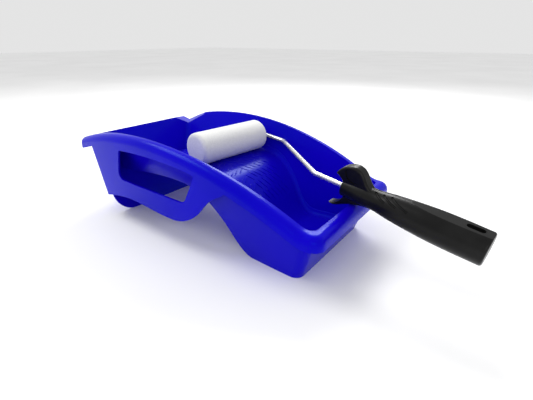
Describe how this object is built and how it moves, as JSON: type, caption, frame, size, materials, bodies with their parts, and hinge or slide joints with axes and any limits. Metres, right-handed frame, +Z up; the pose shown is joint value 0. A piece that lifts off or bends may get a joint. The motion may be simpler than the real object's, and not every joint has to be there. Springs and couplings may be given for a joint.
{
  "type": "paint roller tray",
  "caption": "Small arched paint tray with hand-grip skirts, ramp and well, with a foam mini roller on a bent-wire handle lying in it.",
  "frame": {"origin": "centre of the flat underside of the paint well", "axes": "+X from the raised rear end to the well end and on along the roller's handle, +Y to the side where the roller's wire arm comes out, +Z up"},
  "size_m": [0.4443, 0.1812, 0.1076],
  "materials": {
    "tray_plastic": "gloss moulded, saturated blue",
    "foam": "fine open-cell white foam",
    "core_plastic": "natural moulded",
    "clip_steel": "plain spring steel",
    "coated_rod": "bright plated steel wire",
    "handle_plastic": "fine satin moulded, black"
  },
  "bodies": {
    "tray": {"tray": "tray_plastic"},
    "tool": {"roller_frame": "coated_rod", "rod_end_clip": "clip_steel", "handle": "handle_plastic"},
    "roller": {"foam_sleeve": "foam", "sleeve_core": "core_plastic", "outer_bush": "core_plastic", "inner_bush": "core_plastic"}
  },
  "joints": [
    {"name": "tool_lift", "type": "slide", "parent": "tray", "child": "tool", "axis": [0, 0, 1], "range_m": [0, 0.15]},
    {"name": "roller_spin", "type": "hinge", "parent": "tool", "child": "roller", "pos_m": [-0.1205, 0.017, 0.0873], "axis": [0.108, 0.9942, 0], "continuous": true}
  ]
}
